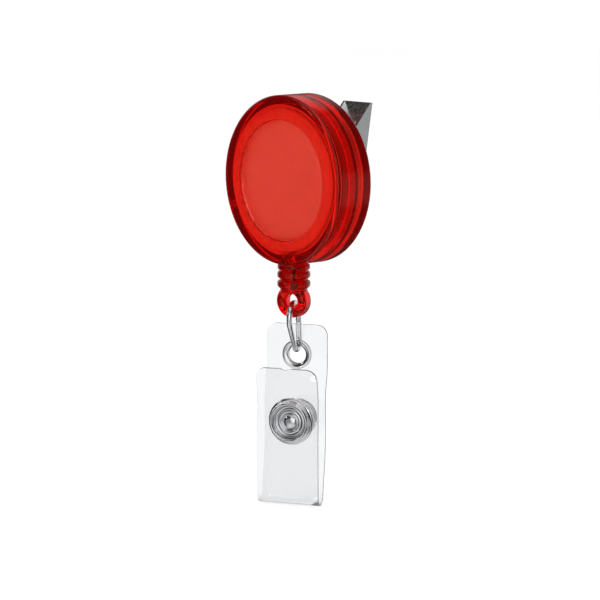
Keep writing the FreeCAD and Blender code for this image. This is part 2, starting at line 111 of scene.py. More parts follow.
def span(node, turn):
    """Lowest and highest corner of a node, in axes turned about the cord's line."""
    spin = Matrix.Rotation(-turn, 3, "Z")
    points = [spin @ (vertex.co - CORD_LINE) for vertex in frame["nodes"][node].data.vertices]
    low = Vector([min(point[i] for point in points) for i in range(3)])
    high = Vector([max(point[i] for point in points) for i in range(3)])
    return low, high


def about_cord(turn):
    """Matrix from axes turned about the cord's line to the model's own."""
    return Matrix.Translation(CORD_LINE) @ Matrix.Rotation(turn, 4, "Z")


# ---- Colour and materials ----
def linear(code):
    """Linear red, green, blue and alpha of an sRGB hex colour."""
    channels = [int(code[i:i + 2], 16) / 255 for i in (1, 3, 5)]
    return [c / 12.92 if c <= 0.04045 else ((c + 0.055) / 1.055) ** 2.4 for c in channels] + [1.0]


def add_node(material, kind, settings=None, values=None, links=None):
    """Add one node: its own settings, its input values, and links {input: (node, output)}."""
    node = material.node_tree.nodes.new(kind)
    for name, value in (settings or {}).items():
        setattr(node, name, value)
    for name, value in (values or {}).items():
        node.inputs[name].default_value = value
    for name, (source, output) in (links or {}).items():
        material.node_tree.links.new(source.outputs[output], node.inputs[name])
    return node


def start_material(name, values):
    """New material with a Principled shader set to the given values."""
    material = bpy.data.materials.new(name)
    material.use_nodes = True
    shader = material.node_tree.nodes["Principled BSDF"]
    for key, value in values.items():
        shader.inputs[key].default_value = value
    return material, shader


def noise_of(material, size, detail=3.0, stretch=(1, 1, 1)):
    """Noise on Object coordinates, whose features are about size metres across."""
    place = add_node(material, "ShaderNodeTexCoord")
    scale = [factor / size for factor in stretch]
    mapping = add_node(material, "ShaderNodeMapping", values={"Scale": scale},
                       links={"Vector": (place, "Object")})
    values = {"Scale": 1.0, "Detail": detail, "Roughness": 0.55}
    return add_node(material, "ShaderNodeTexNoise", values=values, links={"Vector": (mapping, "Vector")})


def between(material, pattern, low, high, from_low=0.3, from_high=0.7):
    """Map a 0 to 1 pattern to a range of values."""
    values = {"From Min": from_low, "From Max": from_high, "To Min": low, "To Max": high}
    return add_node(material, "ShaderNodeMapRange", values=values, links={"Value": (pattern, "Fac")})


def rough_from(material, shader, pattern, low, high, **more):
    """Vary a surface's roughness with a pattern."""
    rough = between(material, pattern, low, high, **more)
    material.node_tree.links.new(rough.outputs["Result"], shader.inputs["Roughness"])


def bump_from(material, shader, pattern, distance, strength):
    """Raise a surface a little where a pattern is high."""
    bump = add_node(material, "ShaderNodeBump", values={"Strength": strength, "Distance": distance},
                    links={"Height": (pattern, "Fac")})
    material.node_tree.links.new(bump.outputs["Normal"], shader.inputs["Normal"])


def absorb_in(material, colour, density):
    """Take light out of a clear material along its way through."""
    values = {"Color": (*colour, 1), "Density": density}
    absorb = add_node(material, "ShaderNodeVolumeAbsorption", values=values)
    output = material.node_tree.nodes["Material Output"]
    material.node_tree.links.new(absorb.outputs["Volume"], output.inputs["Volume"])


def red_polystyrene(name, tint_density):
    """Clear red polystyrene, injection moulded and polished: thin walls glow, long paths go dark.
    A faint red emission, a painted glow in place of light that scatters inside, keeps the deepest parts a dark
    red."""
    look = bpy.context.scene.reel_case
    material, shader = start_material(name, {
        "Base Color": (1, 1, 1, 1), "IOR": 1.59, "Transmission Weight": 1.0,
        # Painted glow: a faint red emission that stands in for light scattered inside the plastic
        "Emission Color": linear("#FF1A0A"), "Emission Strength": look.painted_inner_glow,
        "Specular Tint": linear("#FF8C78"),
    })
    noise = noise_of(material, 2.5 * MM)
    rough = between(material, noise, 0.03, 0.08)
    matt = add_node(material, "ShaderNodeAttribute", {"attribute_name": MATT})
    finish = add_node(material, "ShaderNodeMath", {"operation": "MULTIPLY_ADD"}, {1: look.matt_roughness},
                      {0: (matt, "Fac"), 2: (rough, "Result")})
    material.node_tree.links.new(finish.outputs["Value"], shader.inputs["Roughness"])
    bump_from(material, shader, noise, 0.02 * MM, 0.15)
    absorb_in(material, look.tint, tint_density)
    return material


def nickel_plate(name, code, rough_low, rough_high, size=0.6 * MM):
    """Bright nickel over pressed metal: mirror-like, with faint rolling marks and handling haze."""
    material, shader = start_material(name, {"Base Color": linear(code), "Metallic": 1.0})
    haze = noise_of(material, size, detail=4.0)
    rough_from(material, shader, haze, rough_low, rough_high)
    marks = noise_of(material, 0.35 * MM, detail=2.0, stretch=(1, 1, 0.15))
    bump_from(material, shader, marks, 0.01 * MM, 0.2)
    return material


def clear_vinyl():
    """Calendered clear PVC sheet: glossy, a little grey, with slow waves from the rolls, and a faint white
    emission, a painted glow in place of light that scatters in it.
    """
    look = bpy.context.scene.reel_strap
    material, shader = start_material("clear_vinyl", {
        "Base Color": linear("#EBECED"), "IOR": 1.53, "Roughness": 0.06, "Transmission Weight": 1.0,
        # Painted glow: a faint white emission, set by haze, that stands in for light scattered in the vinyl
        "Emission Color": (1, 1, 1, 1), "Emission Strength": look.haze,
    })
    waves = noise_of(material, 4.0 * MM, detail=1.0)
    bump_from(material, shader, waves, 0.1 * MM, 0.12)
    absorb_in(material, (0.55, 0.58, 0.62), look.grey_density)
    return material


def white_acetal():
    """Natural white acetal for the spool: waxy, with a fine moulded grain."""
    material, shader = start_material("white_acetal", {
        "Base Color": linear("#EFEDE8"), "IOR": 1.48,
        "Subsurface Weight": 0.2, "Subsurface Scale": 0.5 * MM,
    })
    grain = noise_of(material, 0.3 * MM, detail=2.0)
    rough_from(material, shader, grain, 0.38, 0.52)
    bump_from(material, shader, grain, 0.01 * MM, 0.3)
    return material


def black_nylon():
    """Braided black nylon cord: a soft sheen broken by the fine plait."""
    material, shader = start_material("black_nylon", {
        "Base Color": linear("#141415"), "Sheen Weight": 0.12, "Sheen Roughness": 0.4,
    })
    place = add_node(material, "ShaderNodeTexCoord")
    weave = add_node(material, "ShaderNodeTexWave", {"wave_type": "BANDS", "bands_direction": "DIAGONAL"},
                     {"Scale": 1 / (0.9 * MM), "Distortion": 1.5}, {"Vector": (place, "Object")})
    rough_from(material, shader, weave, 0.5, 0.75, from_low=0, from_high=1)
    bump_from(material, shader, weave, 0.05 * MM, 0.5)
    return material


# ---- Mesh helpers ----
def shade_smooth(mesh):
    mesh.polygons.foreach_set("use_smooth", [True] * len(mesh.polygons))


def piece_from(bm, name, material, place=None, crease=32):
    """Finish a bmesh as one object at the origin, smooth between its sharp edges."""
    bmesh.ops.remove_doubles(bm, verts=bm.verts, dist=0.002 * MM)
    bmesh.ops.recalc_face_normals(bm, faces=bm.faces)
    if place is not None:
        bmesh.ops.transform(bm, matrix=place, verts=bm.verts)
    mesh = bpy.data.meshes.new(name)
    bm.to_mesh(mesh)
    bm.free()
    shade_smooth(mesh)
    mesh.set_sharp_from_angle(angle=math.radians(crease))
    piece = bpy.data.objects.new(name, mesh)
    bpy.context.scene.collection.objects.link(piece)
    mesh.materials.append(material)
    return piece


def spun(bm, corners, steps):
    """Turn (radius, distance along Z, rounding) corners about Z, then round the marked ones."""
    verts = [bm.verts.new((r, 0, h)) for r, h, _ in corners]
    edges = [bm.edges.new(pair) for pair in zip(verts, verts[1:] + verts[:1])]
    closes_on_axis = corners[0][0] == 0 and corners[-1][0] == 0
    if closes_on_axis:
        bm.edges.remove(edges.pop())
    bmesh.ops.spin(bm, geom=verts + edges, cent=(0, 0, 0), axis=(0, 0, 1), angle=2 * math.pi,
                   steps=steps, use_merge=True, use_duplicate=False)
    bmesh.ops.remove_doubles(bm, verts=bm.verts, dist=0.002 * MM)
    for r, h, rounding in corners:
        if rounding == 0:
            continue
        ring = [edge for edge in bm.edges if all(
            abs(math.hypot(v.co.x, v.co.y) - r) < 0.003 * MM and abs(v.co.z - h) < 0.003 * MM
            for v in edge.verts)]
        segments = max(2, min(8, round(rounding / (0.08 * MM))))
        bmesh.ops.bevel(bm, geom=ring, offset=rounding, affect="EDGES", segments=segments, profile=0.5,
                        material=-1, clamp_overlap=True)
    return bm


def turned_piece(name, corners, material, place, steps=96):
    """One piece turned from its corners, put in its place."""
    return piece_from(spun(bmesh.new(), corners, steps), name, material, place)


def drawn_on(bm, ring, run, steps):
    """Carry a ring of edges straight on, and return the last ring."""
    for _ in range(steps):
        made = bmesh.ops.extrude_edge_only(bm, edges=ring)["geom"]
        verts = [g for g in made if isinstance(g, bmesh.types.BMVert)]
        bmesh.ops.translate(bm, vec=run / steps, verts=verts)
        ring = [g for g in made if isinstance(g, bmesh.types.BMEdge)]
    return ring


def bent_on(bm, ring, middle, axis, angle, steps):
    """Carry a ring of edges round a bend, and return the last ring."""
    verts = list({vert for edge in ring for vert in edge.verts})
    made = bmesh.ops.spin(bm, geom=ring + verts, cent=middle, axis=axis, angle=angle, steps=steps,
                          use_merge=False, use_duplicate=False)["geom_last"]
    return [g for g in made if isinstance(g, bmesh.types.BMEdge)]


def first_ring(bm, place, radius, sides=20):
    """Edges of a circle to start a wire or a cord from."""
    made = bmesh.ops.create_circle(bm, cap_ends=False, segments=sides, radius=radius, matrix=place)
    return list({edge for vert in made["verts"] for edge in vert.link_edges})


def block(name, low, high, material):
    """Square-edged block between two corners."""
    bm = bmesh.new()
    low, high = Vector(low), Vector(high)
    bmesh.ops.create_cube(bm, size=1.0)
    bmesh.ops.scale(bm, vec=high - low, verts=bm.verts)
    bmesh.ops.translate(bm, vec=(high + low) / 2, verts=bm.verts)
    return piece_from(bm, name, material)


def applied(piece):
    """Turn a piece's modifiers into its mesh."""
    bpy.context.view_layer.update()
    depsgraph = bpy.context.evaluated_depsgraph_get()
    mesh = bpy.data.meshes.new_from_object(piece.evaluated_get(depsgraph))
    piece.modifiers.clear()
    piece.data = mesh
    return piece


def combined(piece, other, operation):
    """Combine a piece with another closed shape, and remove that shape."""
    step = piece.modifiers.new("combine", "BOOLEAN")
    step.operation = operation
    step.solver = "EXACT"
    step.object = other
    applied(piece)
    bpy.data.objects.remove(other)
    return piece


def cut_away(piece, cutter):
    return combined(piece, cutter, "DIFFERENCE")


def joined(piece, other):
    return combined(piece, other, "UNION")


def leave_matt(piece, share_at):
    """Store how matt each point of a moulding is, from its radius and depth on the reel's axis."""
    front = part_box("front_cover")[0].y
    values = [share_at(math.hypot(v.co.x - REEL.x, v.co.z - REEL.z), v.co.y - front)
              for v in piece.data.vertices]
    piece.data.attributes.new(MATT, "FLOAT", "POINT").data.foreach_set("value", values)


def flat_faces_first(piece, weight=80, keep_sharp=True):
    """Keep large flat faces flat beside their rounded edges."""
    weighted = piece.modifiers.new("weighted", "WEIGHTED_NORMAL")
    weighted.keep_sharp = keep_sharp
    weighted.weight = weight


def soften_edges(piece, width, segments, limit):
    """Round the edges that turn by more than a limit in degrees."""
    edges = piece.modifiers.new("edges", "BEVEL")
    edges.width = width
    edges.segments = segments
    edges.limit_method = "ANGLE"
    edges.angle_limit = math.radians(limit)
    return edges


def keep(piece, body, slot, *nodes):
    """Give a finished piece its body and hide the nodes that it stands for; the slot is not used."""
    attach(piece, body)
    if nodes:
        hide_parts(*nodes)
    return piece


def dress(material, *nodes):
    """Give CAD nodes their finish."""
    for node in nodes:
        mesh = frame["nodes"][node].data
        mesh.materials.clear()
        mesh.materials.append(material)


def reel_place(start):
    """Matrix whose Z runs backward along the reel's axis, from a depth on it."""
    return Matrix.Translation((REEL.x, start, REEL.z)) @ BACKWARD


# ---- Sizes and colours that a user would change ----
def length_prop(name, default_mm, description):
    return FloatProperty(name=name, description=description, default=default_mm * MM, min=0.0,
                         unit="LENGTH", precision=5)


def share_prop(name, default, description):
    return FloatProperty(name=name, description=description, default=default, min=0, max=1, subtype="FACTOR")


def amount_prop(name, default, description):
    return FloatProperty(name=name, description=description, default=default, min=0)


def angle_prop(name, degrees, description):
    return FloatProperty(name=name, description=description, default=math.radians(degrees), subtype="ANGLE")


class ReelCaseSettings(bpy.types.PropertyGroup):
    joint_depth: length_prop("Joint line", 5.1, "Depth of the front cover behind the front face")
    shoulder_depth: length_prop("Shoulder line", 6.4, "Depth of the second line round the side")
    shoulder_step: length_prop("Shoulder step", 0.1, "How far the back cover is stepped in at its joint")
    side_wall: length_prop("Side wall", 1.7, "Thickness of the case's side wall")
    face_wall: length_prop("Face wall", 1.0, "Thickness of the case's flat walls")
    front_round: length_prop("Front rounding", 0.8, "Rounding of the front edge")
    back_round: length_prop("Back rounding", 0.6, "Rounding of the back edge")
    recess_radius: length_prop("Label seat radius", 11.5, "Radius of the round seat in the front face")
    recess_depth: length_prop("Label seat depth", 0.5, "Depth of the round seat")
    recess_slope: length_prop("Label seat slope", 0.8, "Width of the soft slope round the seat's floor")
    post_radius: length_prop("Post radius", 2.75, "Outside radius of the centre post")
    post_bore: length_prop("Post bore", 1.95, "Inside radius of the centre post")
    post_gap: length_prop("Post gap", 1.0, "From the label seat's inner face to the post's front end")
    outlet_radius: length_prop("Outlet radius", 1.0, "Radius of the hole that the cord leaves by")
    outlet_flare: length_prop("Outlet flare", 0.6, "How far the outlet widens inside the case")
    tongue_gap: length_prop("Tongue gap", 0.03, "From the tongue to the front cover's wall")
    tongue_wall: length_prop("Tongue wall", 0.5, "Thickness of the tongue")
    tongue_length: length_prop("Tongue length", 1.2, "How far the tongue reaches into the front cover")
    boss_radius: length_prop("Boss radius", 3.5, "Radius of the boss round the rivet")
    boss_height: length_prop("Boss height", 0.25, "How far the boss stands proud of the back")
    rivet_hole: length_prop("Rivet hole", 1.06, "Radius of the hole that the rivet turns in")
    spring_slot: length_prop("Spring slot", 0.5, "Width of the slot in the post that holds the spring's end")
    tint: FloatVectorProperty(name="Tint", description="Light that the plastic lets through",
                              subtype="COLOR", size=3, default=linear("#FB7535")[:3], min=0, max=1)
    tint_density: amount_prop("Tint density", 1400, "Strength of the tint, per metre")
    # Painted glow: strength of the plastic's red emission, in place of light that scatters inside
    painted_inner_glow: amount_prop("Inner glow", 0.013, "Light that scatters inside the plastic")
    matt_roughness: share_prop("Matt roughness", 0.4, "Roughness of the unpolished inner faces")
    seat_matt: share_prop("Seat matt", 0.3, "How far the label seat is as matt as the inner faces")


class ReelStemSettings(bpy.types.PropertyGroup):
    collar_radius: length_prop("Collar", 3.1, "Radius of the collar under the case")
    collar_height: length_prop("Collar height", 0.9, "Height of the collar")
    neck_radius: length_prop("Neck", 2.6, "Radius between the ribs")
    rib_radius: length_prop("Ribs", 3.15, "Outside radius of the ribs")
    rib_half: length_prop("Rib half height", 0.75, "Half the height of a rib")
    rib_round: length_prop("Rib rounding", 0.55, "Rounding of a rib's edges")
    rib_count: IntProperty(name="Rib count", description="How many ribs there are", default=2, min=0)
    first_rib: length_prop("First rib", 1.9, "From the top of the stem to the first rib")
    rib_pitch: length_prop("Rib pitch", 1.78, "From one rib to the next")
    eye_radius: length_prop("Eye", 3.2, "Radius of the flat eye")
    eye_thickness: length_prop("Eye thickness", 3.2, "Thickness of the eye")
    eye_hole: length_prop("Eye hole", 1.3, "Radius of the eye's hole")
    eye_mouth: length_prop("Eye mouth", 0.95, "Rounding of the hole's mouths")
    eye_edge: length_prop("Eye edge", 0.9, "Rounding of the eye's outer edges")
    cord_bore: length_prop("Cord bore", 0.55, "Radius of the bore for the cord")
    knot_bore: length_prop("Knot bore", 1.0, "Radius of the chamber for the knot")
    tint_density: amount_prop("Tint density", 5500, "Strength of the stem's tint, per metre")
    skin: length_prop("Skin", 0.08, "Cell size of the surface that joins the stem's shapes")


class ReelStrapSettings(bpy.types.PropertyGroup):
    sheet: length_prop("Sheet", 0.45, "Thickness of the vinyl")
    corner_radius: length_prop("Corner radius", 2.0, "Rounding of the strap's corners")
    fold_radius: length_prop("Fold radius", 1.3, "Radius of the middle of the sheet at the fold")
    hold: length_prop("Snap hold", 4.65, "Half the straight stretch that the snap keeps parallel")
    eyelet_hold: length_prop("Eyelet hold", 2.75, "How far below the eyelet the back leaf stays flat")
    hole_radius: length_prop("Eyelet hole", 2.05, "Radius of the hole under the eyelet")
    snap_hole_radius: length_prop("Snap hole", 1.25, "Radius of the holes under the snap")
    edge_rounding: length_prop("Edge rounding", 0.07, "Rounding of the sheet's cut edges")
    lane: length_prop("Lane", 2.0, "Width of the lanes that the sheet bends in")
    rivet_gap: length_prop("Riveted gap", 0.03, "Between faces that are riveted together")
    grey_density: amount_prop("Grey density", 60, "Strength of the vinyl's grey, per metre")
    # Painted glow: strength of the vinyl's white emission, in place of light that scatters in it
    haze: amount_prop("Haze", 0.03, "Light that scatters in the vinyl")


class ReelEyeletSettings(bpy.types.PropertyGroup):
    hole: length_prop("Hole", 1.8, "Radius of the eyelet's hole")
    barrel: length_prop("Barrel", 2.05, "Outside radius of the eyelet's barrel")
    flange: length_prop("Flange", 2.85, "Radius of the rolled flange and of the washer")
    roll: length_prop("Roll", 0.3, "Thickness of the rolled flange")


class ReelSnapSettings(bpy.types.PropertyGroup):
    shank: length_prop("Shank", 1.2, "Radius of the two caps' shanks")
    shank_hole: length_prop("Shank hole", 1.23, "Radius of the holes that the shanks fill")
    base: length_prop("Front cap base", 4.5, "Radius of the front cap's flat flange")
    rim: length_prop("Front cap rim", 3.9, "Outside radius of the front cap's raised rim")
    rim_wall: length_prop("Rim wall", 0.75, "Width of the raised rim")
    rim_height: length_prop("Rim height", 1.9, "Height of the raised rim over the strap")
    floor: length_prop("Floor", 0.4, "Height of the floor inside the rim")
    inner_ring: length_prop("Inner ring", 2.55, "Outside radius of the inner ring")
    dome: length_prop("Dome", 1.6, "Radius of the dome in the middle")
    socket_rim: length_prop("Socket rim", 3.75, "Radius of the socket's flange")
    socket_body: length_prop("Socket body", 3.3, "Radius of the socket's body")
    socket_bore: length_prop("Socket bore", 2.25, "Radius of the socket's bore")
    ring_groove: length_prop("Ring groove", 0.36, "Depth of the groove that holds the ring spring")
    stud_flange: length_prop("Stud flange", 3.4, "Radius of the stud's flange")
    stud_head: length_prop("Stud head", 1.95, "Radius of the stud's head")
    stud_neck: length_prop("Stud neck", 1.65, "Radius of the stud's neck")
    rear_cap: length_prop("Back cap", 3.6, "Radius of the back cap")
    rear_height: length_prop("Back cap height", 0.7, "Height of the back cap over the strap")


class ReelClipSettings(bpy.types.PropertyGroup):
    jaw_rounding: length_prop("Jaw rounding", 0.08, "Rounding of the front jaw's pressed edges")
    lever_rounding: length_prop("Lever rounding", 0.1, "Rounding of the rear lever's pressed edges")


class ReelLinkSettings(bpy.types.PropertyGroup):
    turn: angle_prop("Turn", 30, "How far the link is turned about the cord")
    wire_radius: length_prop("Wire radius", 0.55, "Radius of the link's wire")
    top_radius: length_prop("Top bow", 2.8, "Radius of the upper bow")
    low_radius: length_prop("Low bow", 1.6, "Radius of the lower bow")


class ReelStageSettings(bpy.types.PropertyGroup):
    azimuth: angle_prop("Azimuth", 47.515, "How far the camera stands round to the right")
    elevation: angle_prop("Elevation", 8.686, "How far the camera looks down")
    distance: length_prop("Distance", 500, "From the aim point to the camera")
    focal: amount_prop("Focal length", 160.1, "The lens, in millimetres on a 36 mm sensor")
    aim_behind: length_prop("Aim behind", 0.8, "How far behind the case's front face the aim point starts")
    aim_right: length_prop("Aim right", 3.204, "How far the aim point is moved to the right")
    aim_down: length_prop("Aim down", 22.403, "How far the aim point is moved down")
    floor_gap: length_prop("Floor gap", 0.1, "From the floor to the lowest point above it")
    floor_white: share_prop("Floor white", 0.3, "How much light the floor returns")
    floor_glow: amount_prop("Floor glow", 0.7, "Light that comes up through the floor")
    key: amount_prop("Key light", 7.5, "Brightness of the light in front")
    fill: amount_prop("Side light", 4, "Brightness of the light at the right")
    top: amount_prop("Top light", 1.5, "Brightness of the light overhead")
    room_radius: length_prop("Room radius", 1500, "Radius of the room that shiny surfaces reflect")
    room_grey: amount_prop("Room grey", 0.045, "Brightness of the room's dark parts")


# ---- Case ----
class MakeReelCase(bpy.types.Operator):
    """Model the front and back covers and dress the spool, the cord and the springs inside."""
    bl_idname = "badge_reel.make_case"
    bl_label = "Make the case"

    def execute(self, context):
        look = context.scene.reel_case
        plastic = red_polystyrene("red_polystyrene", look.tint_density)
        low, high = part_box("front_cover")
        boss_height, rivet_hole = look.boss_height, look.rivet_hole
        radius = (high.x - low.x) / 2
        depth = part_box("back_cover")[1].y - low.y - boss_height
        inner = radius - look.side_wall
        floor = look.recess_depth
        face = look.face_wall
        front = turned_piece("front_cover_shell", [
            (0, floor, 0), (look.recess_radius - look.recess_slope, floor, 0.35 * MM),
            (look.recess_radius - 0.08 * MM, 0.3 * MM, 0.14 * MM), (look.recess_radius, 0, 0.08 * MM),
            (radius, 0, look.front_round), (radius, look.joint_depth, 0.1 * MM),
            (inner, look.joint_depth, 0.05 * MM), (inner, floor + face, 0.4 * MM), (0, floor + face, 0),
        ], plastic, reel_place(low.y), steps=160)
        tongue = inner - look.tongue_gap
        tongue_in = tongue - look.tongue_wall
        tongue_front = look.joint_depth - look.tongue_length
        shoulder = radius - look.shoulder_step
        wall = depth - face
        post_front = floor + face + look.post_gap
        back_piece = turned_piece("back_cover_shell", [
            (rivet_hole, depth + boss_height, 0.05 * MM), (look.boss_radius, depth + boss_height, 0.15 * MM),
            (look.boss_radius, depth, 0.1 * MM), (radius, depth, look.back_round),
            (radius, look.shoulder_depth, 0.04 * MM), (shoulder, look.shoulder_depth, 0.03 * MM),
            (shoulder, look.joint_depth, 0.1 * MM), (tongue, look.joint_depth, 0),
            (tongue, tongue_front, 0.08 * MM), (tongue_in, tongue_front, 0.08 * MM),
            (tongue_in, wall, 0.4 * MM), (look.post_radius, wall, 0.3 * MM),
            (look.post_radius, post_front, 0.1 * MM), (look.post_bore, post_front, 0.1 * MM),
            (look.post_bore, wall, 0.05 * MM), (rivet_hole, wall, 0.05 * MM),
        ], plastic, reel_place(low.y), steps=160)
        case_low = REEL.z - radius
        outlet = Matrix.Translation((CORD.x, CORD.y, case_low - radius))
        hole, mouth = look.outlet_radius, look.outlet_radius + look.outlet_flare
        inside = radius + look.side_wall
        cut_away(front, turned_piece("outlet", [
            (0, 0, 0), (hole, 0, 0), (hole, inside - look.outlet_flare, 0), (mouth, inside, 0),
            (mouth, inside + look.outlet_flare, 0), (0, inside + look.outlet_flare, 0),
        ], plastic, outlet, steps=48))
        tongue_y = low.y + tongue_front
        cut_away(back_piece, block(
            "cord_notch", (CORD.x - mouth, tongue_y - 1 * MM, case_low + look.side_wall / 2),
            (CORD.x + mouth, low.y + look.joint_depth, case_low + 3 * look.side_wall), plastic))
        spring_low, spring_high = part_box("mainspring")
        slot = look.spring_slot / 2
        cut_away(back_piece, block(
            "spring_slot", (REEL.x - slot, spring_low.y - 0.05 * MM, REEL.z),
            (REEL.x + slot, spring_high.y + 0.05 * MM, REEL.z + 1.5 * look.post_radius), plastic))
        edge = 0.1 * MM

        def front_matt(r, d):
            if floor + face / 2 < d < floor + face + edge and r < inner - edge:
                return 1.0
            return look.seat_matt if floor / 2 < d < floor + edge and r < look.recess_radius else 0.0

        leave_matt(front, front_matt)
        leave_matt(back_piece, lambda r, d: float(wall - edge < d < wall + edge and r < tongue_in - edge))
        for piece, node in ((front, "front_cover"), (back_piece, "back_cover")):
            flat_faces_first(piece)
            keep(piece, "housing", "red_plastic", node)
        dress(white_acetal(), "spool")
        dress(nickel_plate("spring_steel", "#8E9196", 0.25, 0.4), "mainspring", "snap_ring_spring")
        nylon = black_nylon()
        dress(nylon, "cord_knot")
        self.wind_cord(nylon)
        self.lead_cord(nylon, inner, case_low)
        return {"FINISHED"}

    @staticmethod
    def wind_cord(nylon):
        """Lay the cord's turns side by side in the spool's groove."""
        low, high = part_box("cord_winding")
        cord_low, cord_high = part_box("cord_run")
        outer = (high.x - low.x) / 2
        cord = (cord_high.y - cord_low.y) / 2
        count = round((high.y - low.y) / (2 * cord))
        pitch = (high.y - low.y) / count
        winding = frame["nodes"]["cord_winding"].data
        inner = min(math.hypot(v.co.x - REEL.x, v.co.z - REEL.z) for v in winding.vertices)
        corners = [(inner, 0, 0)]
        for turn in range(count):
            start = turn * pitch
            corners += [(outer - cord / 2, start, 0), (outer, start + pitch * 0.05, cord * 0.8),
                        (outer, start + pitch * 0.95, cord * 0.8)]
        corners += [(outer - cord / 2, count * pitch, 0), (inner, count * pitch, 0)]
        wound = turned_piece("wound_cord", corners, nylon, reel_place(low.y), steps=120)
        keep(wound, "spool", "cord_nylon", "cord_winding")

    @staticmethod
    def lead_cord(nylon, case_inner, case_low):
        """Lead the cord off the winding, through the outlet and down to its knot."""
        low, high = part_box("cord_run")
        winding_low, winding_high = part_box("cord_winding")
        cord = (high.y - low.y) / 2
        wound = (winding_high.x - winding_low.x) / 2 + cord
        bend_radius = 5 * cord
        corner = Vector((CORD.x, CORD.y, REEL.z - case_inner))
        angle = math.asin(wound / case_inner)
        leave = Vector((-math.sin(angle), 0, -math.cos(angle)))
        start = corner - leave * (case_inner * math.cos(angle))
        reach = bend_radius * math.tan(angle / 2)
        bm = bmesh.new()
        turn = Vector((0, 0, 1)).rotation_difference(leave).to_matrix().to_4x4()
        ring = first_ring(bm, Matrix.Translation(start) @ turn, cord, 16)
        bmesh.ops.contextual_create(bm, geom=ring)
        ring = drawn_on(bm, ring, corner - leave * reach - start, 10)
        side = Vector((-math.cos(angle), 0, math.sin(angle)))
        middle = corner - leave * reach - side * bend_radius
        ring = bent_on(bm, ring, middle, (0, 1, 0), -angle, 8)
        top = corner.z - reach
        ring = drawn_on(bm, ring, Vector((0, 0, low.z - top)), 24)
        bmesh.ops.contextual_create(bm, geom=ring)
        piece = piece_from(bm, "pull_cord", nylon, None, crease=60)
        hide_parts("cord_run")
        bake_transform(piece)


# ---- Stem ----
class MakeStem(bpy.types.Operator):
    """Model the ribbed stem with its flat eye as one moulding, with the bore for the cord."""
    bl_idname = "badge_reel.make_stem"
    bl_label = "Make the stem"

    def execute(self, context):
        look = context.scene.reel_stem
        plastic = red_polystyrene("deep_red_polystyrene", look.tint_density)
        low, high = span("stem", EYE_TURN)
        top = high.z
        eye_z = low.z + look.eye_radius
        body = turned_piece("stem_moulding", self.outline(look, top, eye_z), plastic, None, steps=72)
        half = look.eye_thickness / 2
        level = Matrix.Translation((0, 0, eye_z)) @ FORWARD
        eye = turned_piece("stem_eye", [
            (look.eye_hole, -half, look.eye_mouth), (look.eye_radius, -half, look.eye_edge),
            (look.eye_radius, half, look.eye_edge), (look.eye_hole, half, look.eye_mouth),
        ], plastic, level, steps=72)
        joined(body, eye)
        knot = centre("cord_knot").z
        bore, chamber = look.cord_bore, look.knot_bore
        cutter = turned_piece("stem_bore", [
            (0, top + 1 * MM, 0), (bore, top + 1 * MM, 0), (bore, knot + chamber + 0.2 * MM, 0),
            (chamber, knot + chamber, 0), (chamber, eye_z, 0), (0, eye_z, 0),
        ], plastic, None, steps=32)
        cut_away(body, cutter)
        remesh = body.modifiers.new("skin", "REMESH")
        remesh.mode = "VOXEL"
        remesh.voxel_size = look.skin
        smooth = body.modifiers.new("polish", "SMOOTH")
        smooth.factor = 0.5
        smooth.iterations = 6
        applied(body)
        body.data.transform(about_cord(EYE_TURN))
        shade_smooth(body.data)
        keep(body, "stem", "red_plastic", "stem")
        return {"FINISHED"}

    @staticmethod
    def outline(look, top, eye_z):
        """Corners of the collar, the ribs and the neck down into the eye."""
        collar, neck, rib, half = look.collar_radius, look.neck_radius, look.rib_radius, look.rib_half
        foot = top - look.collar_height
        corners = [(0, top, 0), (collar, top, 0.15 * MM), (collar, foot, 0.25 * MM),
                   (neck, foot - 0.05 * MM, 0.1 * MM)]
        for index in range(look.rib_count):
            middle = top - look.first_rib - look.rib_pitch * index
            corners += [(neck, middle + half, 0.05 * MM), (rib, middle + half - 0.05 * MM, look.rib_round),
                        (rib, middle - half + 0.05 * MM, look.rib_round), (neck, middle - half, 0.05 * MM)]
        end = eye_z + look.eye_hole + look.eye_mouth / 2
        return corners + [(neck, end, 0), (0, end, 0)]


# ---- Link ----
class MakeLink(bpy.types.Operator):
    """Bend a round wire to the loop that joins the stem's eye to the strap's eyelet."""
    bl_idname = "badge_reel.make_link"
    bl_label = "Make the link"

    def execute(self, context):
        look = context.scene.reel_link
        low, high = span("link_ring", look.turn)
        wire = look.wire_radius
        top = Vector((0, 0, high.z - wire - look.top_radius))
        bottom = Vector((0, joint_place("strap_swing").y, low.z + wire + look.low_radius))
        down = bottom - top
        run = down.length
        down.normalize()
        across = down.cross(Vector((1, 0, 0)))
        spread = math.acos((look.top_radius - look.low_radius) / run)
        rays = [down * math.cos(spread) + across * (side * math.sin(spread)) for side in (1, -1)]
        leg = (top + rays[0] * look.top_radius) - (bottom + rays[0] * look.low_radius)
        bm = bmesh.new()
        turn = Vector((0, 0, 1)).rotation_difference(leg).to_matrix().to_4x4()
        place = Matrix.Translation(bottom + rays[0] * look.low_radius) @ turn
        ring = first_ring(bm, place, wire)
        axis = rays[0].cross(down)
        back_leg = (bottom + rays[1] * look.low_radius) - (top + rays[1] * look.top_radius)
        ring = drawn_on(bm, ring, leg, 8)
        ring = bent_on(bm, ring, top, -axis, 2 * math.pi - 2 * spread, 40)
        ring = drawn_on(bm, ring, back_leg, 8)
        bent_on(bm, ring, bottom, -axis, 2 * spread, 28)
        steel = nickel_plate("bright_nickel_wire", "#E4E5E6", 0.1, 0.22, 0.8 * MM)
        link = piece_from(bm, "wire_link", steel, about_cord(look.turn), crease=60)
        keep(link, "link", "link_nickel", "link_ring")
        return {"FINISHED"}


